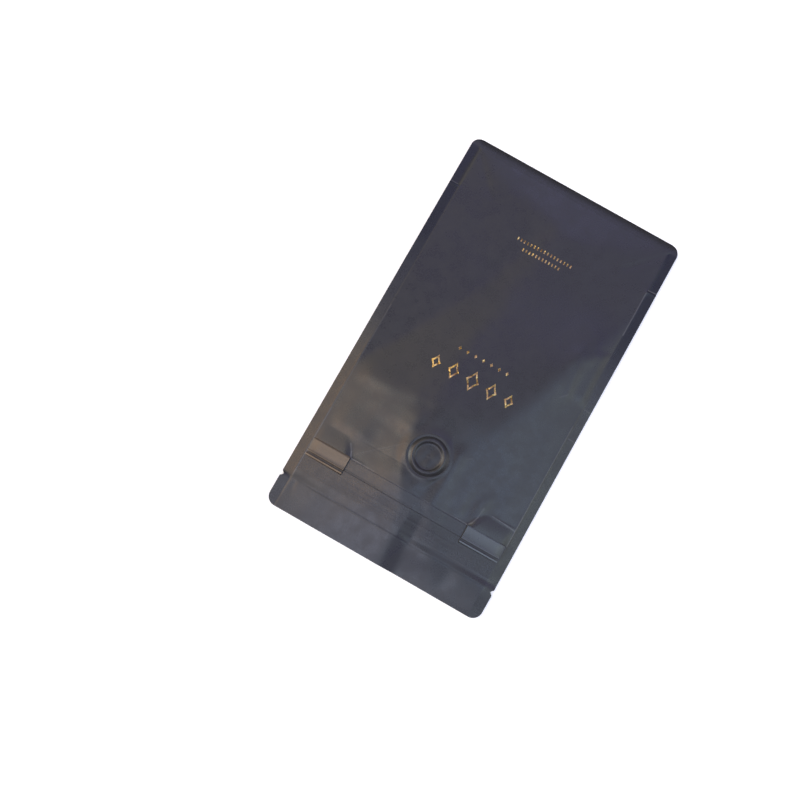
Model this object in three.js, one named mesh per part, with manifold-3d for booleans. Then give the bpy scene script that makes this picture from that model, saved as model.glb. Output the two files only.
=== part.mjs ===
// Flat-bottom coffee pouch of matte laminate film, lying on its back panel.
// Millimetres. +X is the pouch's right as its front is seen with the mouth up,
// +Y runs to the mouth and +Z is up, out of the front panel. The origin is at the
// middle of the outline, on the plane the back panel lies on.
import * as THREE from "three";
import { mergeVertices } from "three/addons/utils/BufferGeometryUtils.js";
import Module from "manifold-3d";

const wasm = await Module();
wasm.setup();

// ---- driving dimensions ------------------------------------------------------
const WIDTH = 140; // across the two side seals
const LENGTH = 250; // bottom seal to mouth
const CORNER_R = 6; // rounded corners of the outline
const SEAL = 6; // width of the welded fins at the sides and the bottom
const FIN_TOP = 3.0; // height of the front panel's fins above the table
const FIN_PLY = 0.55; // front film welded to the gusset film
const BACK_PLY = 0.55; // back film welded to the gusset film
const STEP_Y = -92.5; // where the bottom gusset's fins start on the sides
const STEP_DROP = 0.3; // how far the fins drop there

const LIP_Y = 106; // tear line below the lip
const NOTCH_Y = 106.5; // tear notches in both side fins
const NOTCH_DEEP = 1.7;
const NOTCH_HALF = 1.5;

const ZIP_LOW = 79.6; // pocket zipper's end blocks, lower and upper edge
const ZIP_HIGH = 91;
const STRIP_LOW = 80.2; // the strip between them is narrower
const STRIP_HIGH = 88.1;
const ZIP_X = 63.6; // it reaches to the side seals
const TAB_LEFT = -38; // inner ends of the two raised end blocks
const TAB_RIGHT = 39;
const RAMP_Y = 69.3; // the film starts to rise to the blocks here
const ZIP_SUNK = 0.8; // thickness of the strip let into the front panel
const GAP = 0.3; // between pieces that touch

const VALVE_X = 0.8; // degassing valve
const VALVE_Y = 57;
const VALVE_R = 12;
const VALVE_FACE = 9.75; // height of the film round it
const VALVE_SEAT = 1.3; // depth of the seat under the film

const MOUTH_ARCH = 1.6; // how far the back lip bows up at its middle

// Cross-sections of the front panel at even steps from the bottom seal to the
// mouth. Each is a run of four slopes: up from the left weld, the middle, down to
// the right, and a shallow outer strip. The lines where one gives way to the next
// run aslant over the panel.
const LEFT_RISE = [0.125, 0.17, 0.206, 0.133, 0.084, 0.048, -0.106];
const LEFT_LINE = [-74, -67, -54, -37.5, -18.7, -12.6, -13.6];
const MIDDLE_RISE = [0.041, -0.024, -0.06, -0.014, 0.012, 0.059, 0.176];
const RIGHT_LINE = [-1.8, -0.8, 2.5, 10.2, 10.5, 1.6, -6.8];
const RIGHT_RISE = [-0.151, -0.156, -0.15, -0.154, -0.158, -0.156, -0.099];
const VALLEY_LINE = [-7.9, 10.5, 25.8, 47.5, 72.7, 93.4, 112.4];
const OUTER_RISE = [-0.045, -0.042, -0.029, 0.002, 0.022, 0.005, -0.021];
const SOFT = [[3.4, 1.2], [3.0, 1.4], [1.8, 0.8]]; // of the lines, bottom and mouth
// wide folds: from, to, ridge height, step up to the left of the line, half width
const FOLDS = [
  [15.5, 99, 17.3, 38, 0.27, -0.15, 7.3],
  [-28.4, 111, -25.7, 88, 0.28, 0.02, 8.0],
  [57, 33.5, 20, 30.5, 0.25, 0.23, 4.6],
];

// ---- small helpers -----------------------------------------------------------
const clamp01 = (t) => Math.min(1, Math.max(0, t));
const smooth = (a, b, v) => {
  const t = clamp01((v - a) / (b - a));
  return t * t * (3 - 2 * t);
};
const softMin = (a, b, k) => {
  const h = Math.max(k - Math.abs(a - b), 0) / k;
  return Math.min(a, b) - (h * h * k) / 4;
};
const softMax = (a, b, k) => -softMin(-a, -b, k);

// ---- the front panel's height ------------------------------------------------
const INNER_X = WIDTH / 2 - SEAL; // inner line of the side seals
const INNER_Y = -LENGTH / 2 + SEAL; // inner line of the bottom seal

// A quantity given at even steps from the bottom seal to the mouth.
function along(values, y) {
  const n = values.length,
    u = (clamp01((y + LENGTH / 2) / LENGTH) * (n - 1)),
    k = Math.min(Math.floor(u), n - 2),
    t = u - k;
  const v = [2 * values[0] - values[1], ...values, 2 * values[n - 1] - values[n - 2]];
  const [a, b, c, d] = v.slice(k, k + 4);
  return (
    b + 0.5 * t * (c - a + t * (2 * a - 5 * b + 4 * c - d + t * (3 * (b - c) + d - a)))
  );
}

const softRamp = (t) => (t > 30 ? t : Math.log1p(Math.exp(t)));

function section(x, y) {
  const t = clamp01((y + LENGTH / 2) / LENGTH);
  const rises = [LEFT_RISE, MIDDLE_RISE, RIGHT_RISE, OUTER_RISE].map((v) => along(v, y));
  const lines = [LEFT_LINE, RIGHT_LINE, VALLEY_LINE].map((v) => along(v, y));
  const soft = SOFT.map(([a, b]) => a + (b - a) * t);
  const run = (x) =>
    rises[0] * (x + INNER_X) +
    [0, 1, 2].reduce(
      (z, k) =>
        z +
        (rises[k + 1] - rises[k]) *
          soft[k] *
          (softRamp((x - lines[k]) / soft[k]) -
            softRamp((-INNER_X - lines[k]) / soft[k])),
      0,
    );
  return FIN_TOP + run(x) - (run(INNER_X) * (x + INNER_X)) / (2 * INNER_X);
}

function fold(x, y, [px, py, qx, qy, ridge, step, width]) {
  const length = Math.hypot(qx - px, qy - py),
    ux = (qx - px) / length,
    uy = (qy - py) / length;
  const run = (x - px) * ux + (y - py) * uy,
    off = (y - py) * ux - (x - px) * uy;
  const side = smooth(-1.5, 1.5, off / width) * Math.exp(-Math.max(off, 0) / 22);
  const shape = ridge * Math.exp(-((off / width) ** 2)) + step * side;
  return shape * smooth(-5, 5, run) * (1 - smooth(length - 5, length + 5, run));
}

// The front panel without its details.
function panel(x, y) {
  let z = section(x, y);
  for (const f of FOLDS) z += fold(x, y, f);
  const gap = Math.min(y - INNER_Y, INNER_X - Math.abs(x));
  z = softMin(z, FIN_TOP + 0.066 * gap + 0.166 * softMax(y + 96.2, 0, 6), 0.5);
  z = softMin(z, FIN_TOP + 0.02 + 0.35 * Math.max(gap, 0), 0.3);
  // the stiff disc of the valve flattens the film round it
  const r = Math.hypot(x - VALVE_X, y - VALVE_Y);
  const flat = 1 - smooth(12.3, 18.5, r);
  return z + flat * (VALVE_FACE + 0.01 * (x - VALVE_X) - z);
}

// The end blocks lean outwards a little more than the film beside them.
const lean = (x) =>
  0.03 * (Math.min(-38, Math.max(-64, x)) + 49) * (1 - smooth(-38, -30, x)) -
  0.028 * (Math.min(64, Math.max(38, x)) - 50) * smooth(31, 38, x);

// The film rises to the lower edges of the zipper's two end blocks.
function ramps(x, y) {
  if (y > ZIP_LOW + 0.1) return 0;
  const t = clamp01((y - RAMP_Y) / (ZIP_LOW - RAMP_Y)),
    foot = Math.max(ZIP_LOW - y, 0);
  const onLeft =
    smooth(-64.9, -60.2, x) * (1 - smooth(TAB_LEFT - 2.5 - 0.55 * foot, TAB_LEFT + 0.1 - 0.55 * foot, x));
  const onRight =
    smooth(TAB_RIGHT - 0.1 + 0.5 * foot, TAB_RIGHT + 3.8 + 0.5 * foot, x) * (1 - smooth(60.2, 64.6, x));
  return (
    (1.1 * (1 - (1 - t) ** 1.5) + lean(x) * t) * onLeft +
    (0.75 * (1 - (1 - t) ** 1.2) + lean(x) * t) * onRight
  );
}

function front(x, y) {
  let z = panel(Math.min(INNER_X, Math.max(-INNER_X, x)), Math.max(INNER_Y, y));
  const side = Math.max(Math.abs(x) - INNER_X, 0),
    foot = Math.max(INNER_Y - y, 0);
  // the side fins droop by the mouth, and lie level or curl up a little lower down
  const curl =
    x < 0
      ? -0.19 + 0.17 * smooth(5, -62, y) + 0.05 * smooth(100, 112, y)
      : -0.17 + 0.24 * smooth(45, -40, y) + 0.2 * smooth(104.5, 107, y);
  z += curl * side - 0.05 * foot - 0.032 * foot * foot;
  // below the step the fins are the bottom gusset's, one film lower
  if (y < STEP_Y - 0.01 && side + 0.01 > foot && Math.abs(x) > INNER_X - 0.01) z -= STEP_DROP;
  // the film is a little thinner above the tear line
  z -= 0.12 * smooth(LIP_Y - 1.5, LIP_Y + 0.5, y);
  // a shallow ridge along the left half of the tear line
  const left = 1 - smooth(-34, 4, x);
  z += left * 0.78 * smooth(101, LIP_Y + 0.2, y) * (1 - smooth(LIP_Y + 0.6, 123, y));
  return z + ramps(x, y);
}

// ---- grid over the rounded outline -------------------------------------------
const mirrored = (list) => [...list.map((v) => -v), ...list.slice().reverse()];
const X_HALF = [70, 68.2, 66, 64, 59, 53, 46, 41.5, 37, 30, 23, 15, 8];
const XS = [...mirrored(X_HALF), 0].sort((a, b) => a - b);
const YS = [
  -125, -123.2, -121, -119, -114, -107, -100, STEP_Y - 0.4, STEP_Y, -85, -76,
  -67, -58, -49, -40, -31, -22, -13, -4, 5, 14, 22, 30, 37, 44, 51, 57, 63, RAMP_Y,
  74.5, ZIP_LOW, 85, ZIP_HIGH, 97, 102, LIP_Y, 112, 119, 121, 123.2, 125,
];
const FOLD_STEPS = 4; // grid lines from the outline in to the bottom of the fold

// A square corner patch is bent to a quarter of a disc.
function rounded(x, y) {
  const cx = WIDTH / 2 - CORNER_R,
    cy = LENGTH / 2 - CORNER_R;
  const u = (Math.abs(x) - cx) / CORNER_R,
    v = (Math.abs(y) - cy) / CORNER_R;
  if (u <= 0 || v <= 0) return [x, y];
  return [
    Math.sign(x) * (cx + CORNER_R * u * Math.sqrt(1 - (v * v) / 2)),
    Math.sign(y) * (cy + CORNER_R * v * Math.sqrt(1 - (u * u) / 2)),
  ];
}

// The back panel lies flat, and bows up a little towards the mouth.
const ARCH_Y = 85;
const back = (x, y) => {
  const arch = MOUTH_ARCH * smooth(ARCH_Y, 125, y) * Math.max(0, 1 - (x / 66) ** 2);
  return Math.max(softMin(arch, front(x, y) - 1.25, 0.3), 0);
};

// Height of the open fold behind the fins: its upper and its lower face, which
// meet at its bottom, FOLD_STEPS grid lines in.
function foldFaces(x, y, ring) {
  const top = front(x, y) - FIN_PLY;
  const low = back(x, y) + BACK_PLY;
  const shut = clamp01(ring / FOLD_STEPS) ** 2;
  const middle = low + 0.45 * (Math.min(top, low + 3) - low);
  return [top + shut * (middle - top), low + shut * (middle - low)];
}

class Builder {
  constructor() {
    this.points = [];
    this.index = [];
  }
  point(x, y, z) {
    this.points.push(x, y, z);
    return this.points.length / 3 - 1;
  }
  quad(a, b, c, d) {
    // the shorter diagonal keeps the faces close to the curved surface
    const P = this.points;
    const gap = (i, j) =>
      Math.hypot(
        P[3 * i] - P[3 * j],
        P[3 * i + 1] - P[3 * j + 1],
        P[3 * i + 2] - P[3 * j + 2],
      );
    if (gap(a, c) <= gap(b, d)) this.index.push(a, b, c, a, c, d);
    else this.index.push(a, b, d, b, c, d);
  }
  geometry() {
    const g = new THREE.BufferGeometry();
    g.setAttribute(
      "position",
      new THREE.BufferAttribute(new Float32Array(this.points), 3),
    );
    g.setIndex(this.index);
    return g;
  }
}

function pouchGeometry() {
  const b = new Builder();
  const nx = XS.length,
    ny = YS.length;
  const ringOf = (i, j) => Math.min(i, nx - 1 - i, j, ny - 1 - j);
  const at = XS.map((x) => YS.map((y) => rounded(x, y)));
  const top = XS.map((_, i) =>
    YS.map((_, j) => b.point(...at[i][j], front(...at[i][j]))),
  );
  const faces = XS.map((_, i) =>
    YS.map((_, j) => {
      const ring = ringOf(i, j);
      if (ring > FOLD_STEPS) return null;
      const [hi, lo] = foldFaces(...at[i][j], ring);
      const h = b.point(...at[i][j], hi);
      return [h, ring === FOLD_STEPS ? h : b.point(...at[i][j], lo)];
    }),
  );
  for (let i = 0; i < nx - 1; i++)
    for (let j = 0; j < ny - 1; j++) {
      b.quad(top[i][j], top[i + 1][j], top[i + 1][j + 1], top[i][j + 1]);
      const corners = [
        [i, j],
        [i + 1, j],
        [i + 1, j + 1],
        [i, j + 1],
      ];
      if (corners.some(([p, q]) => !faces[p][q])) continue;
      const f = corners.map(([p, q]) => faces[p][q]);
      b.quad(f[3][0], f[2][0], f[1][0], f[0][0]); // under the front fin
      b.quad(f[0][1], f[1][1], f[2][1], f[3][1]); // on the back fin
    }
  // walls of the front and back fins, and the flat back
  const loop = [];
  for (let i = 0; i < nx - 1; i++) loop.push([i, 0]);
  for (let j = 0; j < ny - 1; j++) loop.push([nx - 1, j]);
  for (let i = nx - 1; i > 0; i--) loop.push([i, ny - 1]);
  for (let j = ny - 1; j > 0; j--) loop.push([0, j]);
  const bottom = new Map();
  const under = (i, j) => {
    const key = i * ny + j;
    if (!bottom.has(key))
      bottom.set(key, b.point(...at[i][j], back(...at[i][j])));
    return bottom.get(key);
  };
  loop.forEach(([i, j], k) => {
    const [p, q] = loop[(k + 1) % loop.length];
    b.quad(faces[i][j][0], faces[p][q][0], top[p][q], top[i][j]);
    b.quad(under(i, j), under(p, q), faces[p][q][1], faces[i][j][1]);
  });
  // below the arch the back is one flat polygon, and above it a grid
  const first = YS.findIndex((y) => y >= ARCH_Y);
  for (let i = 0; i < nx - 1; i++)
    for (let j = first; j < ny - 1; j++)
      b.quad(under(i, j + 1), under(i + 1, j + 1), under(i + 1, j), under(i, j));
  const flat = loop.filter(([, j]) => j <= first);
  const start = flat.findIndex(([i, j]) => i === 0 && j === first);
  const ring = [...flat.slice(start), ...flat.slice(0, start)];
  for (let i = nx - 2; i > 0; i--) ring.push([i, first]);
  const outline = ring.map(([i, j]) => new THREE.Vector2(...at[i][j]));
  const corners = ring.map(([i, j]) => under(i, j));
  for (const [p, q, r] of THREE.ShapeUtils.triangulateShape(outline, []))
    b.index.push(corners[r], corners[q], corners[p]);
  return b.geometry();
}

// ---- cutting and joining -----------------------------------------------------
function solid(geometry) {
  const g = geometry.clone();
  g.deleteAttribute("normal");
  g.deleteAttribute("uv");
  const m = mergeVertices(g, 1e-4);
  return new wasm.Manifold(
    new wasm.Mesh({
      numProp: 3,
      vertProperties: new Float32Array(m.attributes.position.array),
      triVerts: new Uint32Array(m.index.array),
    }),
  );
}

function geometryOf(manifold) {
  const m = manifold.getMesh(),
    n = m.numProp,
    v = new Float32Array(m.numVert * 3);
  for (let i = 0; i < m.numVert; i++)
    v.set(m.vertProperties.subarray(i * n, i * n + 3), i * 3);
  const g = new THREE.BufferGeometry();
  g.setAttribute("position", new THREE.BufferAttribute(v, 3));
  g.setIndex(new THREE.BufferAttribute(new Uint32Array(m.triVerts), 1));
  g.computeVertexNormals();
  return g;
}

// A closed slab over a grid, between two height functions.
function slab(xs, ys, low, high) {
  const b = new Builder();
  const lo = xs.map((x) => ys.map((y) => b.point(x, y, low(x, y))));
  const hi = xs.map((x) => ys.map((y) => b.point(x, y, high(x, y))));
  const nx = xs.length,
    ny = ys.length;
  for (let i = 0; i < nx - 1; i++)
    for (let j = 0; j < ny - 1; j++) {
      b.quad(hi[i][j], hi[i + 1][j], hi[i + 1][j + 1], hi[i][j + 1]);
      b.quad(lo[i][j + 1], lo[i + 1][j + 1], lo[i + 1][j], lo[i][j]);
    }
  for (let i = 0; i < nx - 1; i++) {
    b.quad(lo[i][0], lo[i + 1][0], hi[i + 1][0], hi[i][0]);
    b.quad(lo[i + 1][ny - 1], lo[i][ny - 1], hi[i][ny - 1], hi[i + 1][ny - 1]);
  }
  for (let j = 0; j < ny - 1; j++) {
    b.quad(lo[0][j + 1], lo[0][j], hi[0][j], hi[0][j + 1]);
    b.quad(lo[nx - 1][j], lo[nx - 1][j + 1], hi[nx - 1][j + 1], hi[nx - 1][j]);
  }
  return b.geometry();
}

// ---- pieces ------------------------------------------------------------------
// Pocket zipper: a thin strip from seal to seal, with a raised block at each end.
// The blocks' upper faces are a sloping band, a rib, a groove and a bead.
const BLOCK = [
  [ZIP_LOW, 0.9], [80.2, 1.26], [84, 1.22], [86.2, 1.12], [86.7, 1.05], [87.6, 1.24],
  [88.1, 1.0], [88.6, 0.64], [89.1, 0.7], [89.6, 1.16], [90.2, 1.2], [ZIP_HIGH, 0.2],
];
function rise(y) {
  const k = Math.max(1, BLOCK.findIndex(([at]) => at >= y));
  const [y0, z0] = BLOCK[k - 1],
    [y1, z1] = BLOCK[k];
  return z0 + ((z1 - z0) * (y - y0)) / (y1 - y0);
}
const zipFloor = (x, y) => panel(x, y) - ZIP_SUNK;
const taper = (x) => 1 - 0.62 * clamp01((Math.abs(x) - 59.2) / (ZIP_X - 59.2)) ** 1.6;
const blockTop = (x, y) => panel(x, y) + rise(y) * taper(x) + lean(x);
const stripTop = (x, y) => panel(x, y) + 0.1 * (y > STRIP_LOW && y < STRIP_HIGH ? 1 : 0.3);

const LEFT_XS = [-ZIP_X, -61.6, -59, -52, -46, -41.5, TAB_LEFT];
const RIGHT_XS = [TAB_RIGHT, 44, 50, 59, 61.6, ZIP_X];
const STRIP_XS = [TAB_LEFT - 1, -31, -23, -15, -8, 0, 8, 15, 23, 31, TAB_RIGHT + 1];
const STRIP_YS = [STRIP_LOW, STRIP_LOW + 0.4, 84, 86.8, STRIP_HIGH - 0.3, STRIP_HIGH];
const BLOCK_YS = BLOCK.map(([y]) => y);

// The seats are wider by the gap on every side and open upwards.
function seat(xs, ys) {
  const wide = (list) =>
    list.map((v, i) => v + GAP * ((i === list.length - 1 ? 1 : 0) - (i === 0 ? 1 : 0)));
  const X0 = xs[0],
    X1 = xs[xs.length - 1],
    Y0 = ys[0],
    Y1 = ys[ys.length - 1];
  return slab(
    wide(xs),
    wide(ys),
    (x, y) =>
      zipFloor(Math.min(X1, Math.max(X0, x)), Math.min(Y1, Math.max(Y0, y))) - GAP,
    () => 20,
  );
}
const zipSeats = [seat(LEFT_XS, BLOCK_YS), seat(STRIP_XS, STRIP_YS), seat(RIGHT_XS, BLOCK_YS)];
const zipParts = [
  slab(LEFT_XS, BLOCK_YS, zipFloor, blockTop),
  slab(STRIP_XS, STRIP_YS, zipFloor, stripTop),
  slab(RIGHT_XS, BLOCK_YS, zipFloor, blockTop),
];

// Degassing valve: a round disc with a raised rim.
const VALVE_BASE = VALVE_FACE - VALVE_SEAT;
function lathe(profile, segments) {
  const g = new THREE.LatheGeometry(
    profile.map(([r, z]) => new THREE.Vector2(r, z)),
    segments,
  );
  g.rotateX(Math.PI / 2); // the axis of turning becomes +Z
  g.translate(VALVE_X, VALVE_Y, 0);
  return g;
}
const valveSeat = lathe(
  [
    [0, VALVE_BASE - GAP],
    [VALVE_R + GAP, VALVE_BASE - GAP],
    [VALVE_R + GAP, 20],
    [0, 20],
  ],
  48,
);
const valveBody = lathe(
  [
    [0, VALVE_BASE],
    [VALVE_R, VALVE_BASE],
    [VALVE_R, VALVE_FACE - 0.2],
    [11.4, VALVE_FACE + 0.1],
    [10.6, VALVE_FACE + 0.52],
    [9.8, VALVE_FACE + 0.88],
    [9.4, VALVE_FACE + 0.96],
    [9.0, VALVE_FACE + 0.95],
    [8.3, VALVE_FACE + 0.66],
    [7.7, VALVE_FACE + 0.28],
    [7.1, VALVE_FACE + 0.1],
    [0, VALVE_FACE + 0.12],
  ],
  48,
);

// Tear notch: a rounded three-sided prism that cuts both fins.
function notch(side) {
  const s = new THREE.Shape();
  const tip = WIDTH / 2 - NOTCH_DEEP;
  s.moveTo(side * (WIDTH / 2 + 1), NOTCH_Y - NOTCH_HALF - 0.6);
  s.lineTo(side * tip, NOTCH_Y - 0.35);
  s.lineTo(side * tip, NOTCH_Y + 0.35);
  s.lineTo(side * (WIDTH / 2 + 1), NOTCH_Y + NOTCH_HALF + 0.6);
  s.closePath();
  const g = new THREE.ExtrudeGeometry(s, { depth: 12, bevelEnabled: false });
  g.translate(0, 0, -2);
  return g;
}

const zipSolid = zipParts.map(solid).reduce((a, b) => a.add(b));
const pouchSolid = solid(pouchGeometry())
  .subtract(zipSeats.map(solid).reduce((a, b) => a.add(b)))
  .subtract(solid(valveSeat))
  .subtract(solid(notch(1)))
  .subtract(solid(notch(-1)));

// ---- the object --------------------------------------------------------------
const film = new THREE.MeshStandardMaterial({
  color: 0x45454a,
  roughness: 0.5,
  metalness: 0,
});
const stripFilm = new THREE.MeshStandardMaterial({
  color: 0x4a4a50,
  roughness: 0.55,
  metalness: 0,
});
const valveFilm = new THREE.MeshStandardMaterial({
  color: 0x424247,
  roughness: 0.45,
  metalness: 0,
});

function named(name, geometry, material) {
  const mesh = new THREE.Mesh(geometry, material);
  mesh.name = name;
  return mesh;
}

const bag = new THREE.Group();
bag.name = "coffee_bag";
bag.add(named("pouch", geometryOf(pouchSolid), film));
bag.add(named("valve", geometryOf(solid(valveBody)), valveFilm));
bag.add(named("zipper", geometryOf(zipSolid), stripFilm));

export default bag;
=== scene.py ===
# A flat-bottom coffee pouch of matte laminate film, lying on its back panel.
# Shapes are worked out in millimetres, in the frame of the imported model, and
# written to the meshes in metres.
import math

import bpy
import numpy as np
from mathutils import Euler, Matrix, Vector


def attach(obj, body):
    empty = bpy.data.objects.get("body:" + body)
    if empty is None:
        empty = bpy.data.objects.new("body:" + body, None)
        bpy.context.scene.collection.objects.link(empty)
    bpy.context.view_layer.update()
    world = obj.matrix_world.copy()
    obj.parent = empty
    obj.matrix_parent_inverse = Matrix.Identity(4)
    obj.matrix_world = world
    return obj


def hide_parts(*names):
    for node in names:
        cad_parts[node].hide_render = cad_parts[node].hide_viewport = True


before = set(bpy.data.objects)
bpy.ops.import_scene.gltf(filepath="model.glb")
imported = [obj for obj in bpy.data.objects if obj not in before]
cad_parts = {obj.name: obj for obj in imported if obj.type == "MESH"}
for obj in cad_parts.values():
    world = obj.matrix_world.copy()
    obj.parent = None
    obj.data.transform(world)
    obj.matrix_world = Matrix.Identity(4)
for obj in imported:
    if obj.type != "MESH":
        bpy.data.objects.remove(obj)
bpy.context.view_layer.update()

MM = 0.001

# ---- sizes, the same as the model's ------------------------------------------
WIDTH, LENGTH, CORNER_R, SEAL = 140.0, 250.0, 6.0, 6.0
FIN_TOP = 3.0
PLY = 0.30  # two welded films
STEP_Y, STEP_DROP = -92.5, 0.30
LIP_Y, NOTCH_Y, NOTCH_DEEP, NOTCH_HALF = 106.0, 106.5, 1.7, 1.5
ZIP_LOW, ZIP_HIGH, ZIP_X = 79.6, 91.0, 63.6
TAB_LEFT, TAB_RIGHT = -38.0, 39.0
VALVE_X, VALVE_Y, VALVE_R, VALVE_FACE, VALVE_RING_IN = 0.8, 57.0, 12.0, 9.75, 8.7
MOUTH_ARCH, ARCH_Y = 1.6, 85.0
INNER_X = WIDTH / 2 - SEAL
INNER_Y = -LENGTH / 2 + SEAL
FOLD_X, FOLD_LOW, FOLD_HIGH = 58.0, -112.0, 112.0  # bottom of the open fold


# ---- small helpers -----------------------------------------------------------
def smooth(a, b, v):
    t = np.clip((v - a) / (b - a), 0.0, 1.0)
    return t * t * (3 - 2 * t)


def smin(a, b, k):
    h = np.maximum(k - np.abs(a - b), 0) / k
    return np.minimum(a, b) - h * h * k / 4


def smax(a, b, k):
    return -smin(-a, -b, k)


def bump(v, at, width):
    return np.exp(-(((v - at) / width) ** 2))


def between(v, low, high, edge):
    return smooth(low - edge, low + edge, v) * (1 - smooth(high - edge, high + edge, v))


def ripple(x, y, seed, wavelength, amplitude, count=7):
    """A gentle irregular surface: a few plane waves in seeded directions."""
    rng = np.random.default_rng(seed)
    z = np.zeros(np.broadcast(x, y).shape)
    for _ in range(count):
        a = rng.uniform(0, 2 * math.pi)
        w = 2 * math.pi / (wavelength * rng.uniform(0.7, 1.5))
        z = z + np.sin(
            w * (x * math.cos(a) + y * math.sin(a)) + rng.uniform(0, 2 * math.pi)
        )
    return z * amplitude / math.sqrt(count)


def crease(x, y, p, q, height, width, fade=4.0):
    """A soft ridge (or valley, with a negative height) along the line from p to q."""
    dx, dy = q[0] - p[0], q[1] - p[1]
    length = math.hypot(dx, dy)
    ux, uy = dx / length, dy / length
    along = (x - p[0]) * ux + (y - p[1]) * uy
    off = -(x - p[0]) * uy + (y - p[1]) * ux
    return (
        height
        * np.exp(-np.abs(off) / width)
        * smooth(-fade, fade, along)
        * (1 - smooth(length - fade, length + fade, along))
    )


# ---- height of the front panel -----------------------------------------------
# Cross-sections of the panel at even steps from the bottom seal to the mouth.
# Each is a run of four slopes: up from the left weld, the middle, down to the
# right, and a shallow outer strip; the lines where one gives way to the next run
# aslant over the panel.
LEFT_RISE = (0.125, 0.170, 0.206, 0.133, 0.084, 0.048, -0.106)
LEFT_LINE = (-74.0, -68.5, -52.0, -36.5, -18.7, -12.6, -13.6)
MIDDLE_RISE = (0.041, -0.024, -0.060, -0.014, 0.012, 0.059, 0.176)
RIGHT_LINE = (-1.8, -0.8, 2.5, 10.2, 10.5, 1.6, -6.8)
RIGHT_RISE = (-0.151, -0.156, -0.150, -0.154, -0.158, -0.156, -0.099)
VALLEY_LINE = (-7.9, 10.5, 25.8, 47.5, 72.7, 93.4, 112.4)
OUTER_RISE = (-0.045, -0.042, -0.029, 0.002, 0.022, 0.005, -0.021)
# softness of the three lines, at the bottom seal and at the mouth
SOFT = ((3.4, 1.2), (3.0, 1.4), (1.8, 0.8))
# folds: from, to, ridge height, step up to the left of the line, half width
FOLDS = (
    (1.5, 86.0, 8.3, 68.0, 0.00, 0.60, 2.7),
    (15.3, 51.0, 14.0, 36.0, 0.00, 0.55, 2.4),
    (2.0, 80.0, -4.5, 70.5, 0.20, 0.08, 3.3),
    (-37.0, 72.0, -43.0, 60.0, 0.30, 0.10, 4.0),
    (57.0, 68.2, 37.0, 68.4, -0.11, 0.36, 3.0),
    (-52.6, -12.0, -50.0, -31.0, 0.26, 0.00, 2.0),
    (57.0, 33.5, 20.0, 30.5, 0.25, 0.23, 4.6),
    (-41.0, 120.5, -43.5, 104.0, -0.21, 0.0, 4.9),
    (-28.4, 111.0, -25.7, 88.0, 0.28, 0.02, 8.0),
    (15.5, 99.0, 17.3, 38.0, 0.27, -0.15, 7.3),
    (-21.8, 93.1, -16.5, 44.1, 0.10, 0.40, 3.6),
    (-14.4, 88.0, -14.7, 43.0, 0.24, 0.00, 2.8),
    (-9.0, 86.0, -10.4, 50.0, 0.00, -0.36, 2.3),
    (-13.4, 106.0, -13.6, 84.0, -0.22, 0.00, 2.6, 3.0),
    (-6.0, 106.0, -5.8, 84.0, 0.22, 0.00, 2.6, 3.0),
    (-64.0, -15.0, -63.2, -46.0, 0.62, 0.00, 5.2, 3.0),
    (-47.0, -41.5, -45.0, -30.0, 0.34, 0.00, 4.2),
    (-55.6, -44.0, -53.8, -36.0, 0.22, 0.00, 2.5, 3.0),
)


def along(values, y):
    """The value at y of a quantity given at even steps from bottom to mouth."""
    n = len(values)
    u = (np.clip(y, -125, 125) + 125) / 250 * (n - 1)
    k = np.clip(np.floor(u).astype(int), 0, n - 2)
    t = u - k
    v = np.array((2 * values[0] - values[1], *values, 2 * values[-1] - values[-2]))
    a, b, c, d = v[k], v[k + 1], v[k + 2], v[k + 3]
    return b + 0.5 * t * (c - a + t * (2 * a - 5 * b + 4 * c - d + t * (3 * (b - c) + d - a)))


def section(x, y):
    t = (y + 125) / 250
    rises = [along(v, y) for v in (LEFT_RISE, MIDDLE_RISE, RIGHT_RISE, OUTER_RISE)]
    at = [along(v, y) for v in (LEFT_LINE, RIGHT_LINE, VALLEY_LINE)]
    soft = [a + (b - a) * t for a, b in SOFT]

    def run(x):
        z = rises[0] * (x + INNER_X)
        for k in range(3):
            z = z + (rises[k + 1] - rises[k]) * soft[k] * (
                np.logaddexp(0, (x - at[k]) / soft[k])
                - np.logaddexp(0, (-INNER_X - at[k]) / soft[k])
            )
        return z

    return FIN_TOP + run(x) - run(INNER_X + 0 * x) * (x + INNER_X) / (2 * INNER_X)


def fold(x, y, px, py, qx, qy, ridge, step, width, fade=5.0):
    dx, dy = qx - px, qy - py
    length = math.hypot(dx, dy)
    ux, uy = dx / length, dy / length
    run = (x - px) * ux + (y - py) * uy
    off = -(x - px) * uy + (y - py) * ux
    side = smooth(-1.5, 1.5, off / width) * np.exp(-np.maximum(off, 0) / 22.0)
    shape = ridge * np.exp(-((off / width) ** 2)) + step * side
    return shape * smooth(-fade, fade, run) * (1 - smooth(length - fade, length + fade, run))


def panel(x, y):
    z = section(x, y)
    for f in FOLDS:
        z = z + fold(x, y, *f)
    gap = np.minimum(y - INNER_Y, INNER_X - np.abs(x))
    hip = FIN_TOP + 0.066 * gap + 0.166 * smax(y + 96.2, 0.0 * x, 6)
    z = smin(z, hip, 0.5)
    z = smin(z, FIN_TOP + 0.02 + 0.35 * np.maximum(gap, 0), 0.3)
    inside = smooth(0, 14, INNER_X - np.abs(x)) * smooth(0, 14, y - INNER_Y)
    z = z + inside * (ripple(x, y, 3, 30, 0.05) + ripple(x, y, 8, 17, 0.02))
    r = np.hypot(x - VALVE_X, y - VALVE_Y)
    # the film meets the valve a little lower on its left
    left = smooth(-4.5, -11.0, x)
    flat = 1 - smooth(12.3 - 0.3 * left, 18.5 - 3.6 * left, r)
    return z + flat * (VALVE_FACE - 0.38 * left + 0.01 * (x - VALVE_X) - z)


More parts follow.
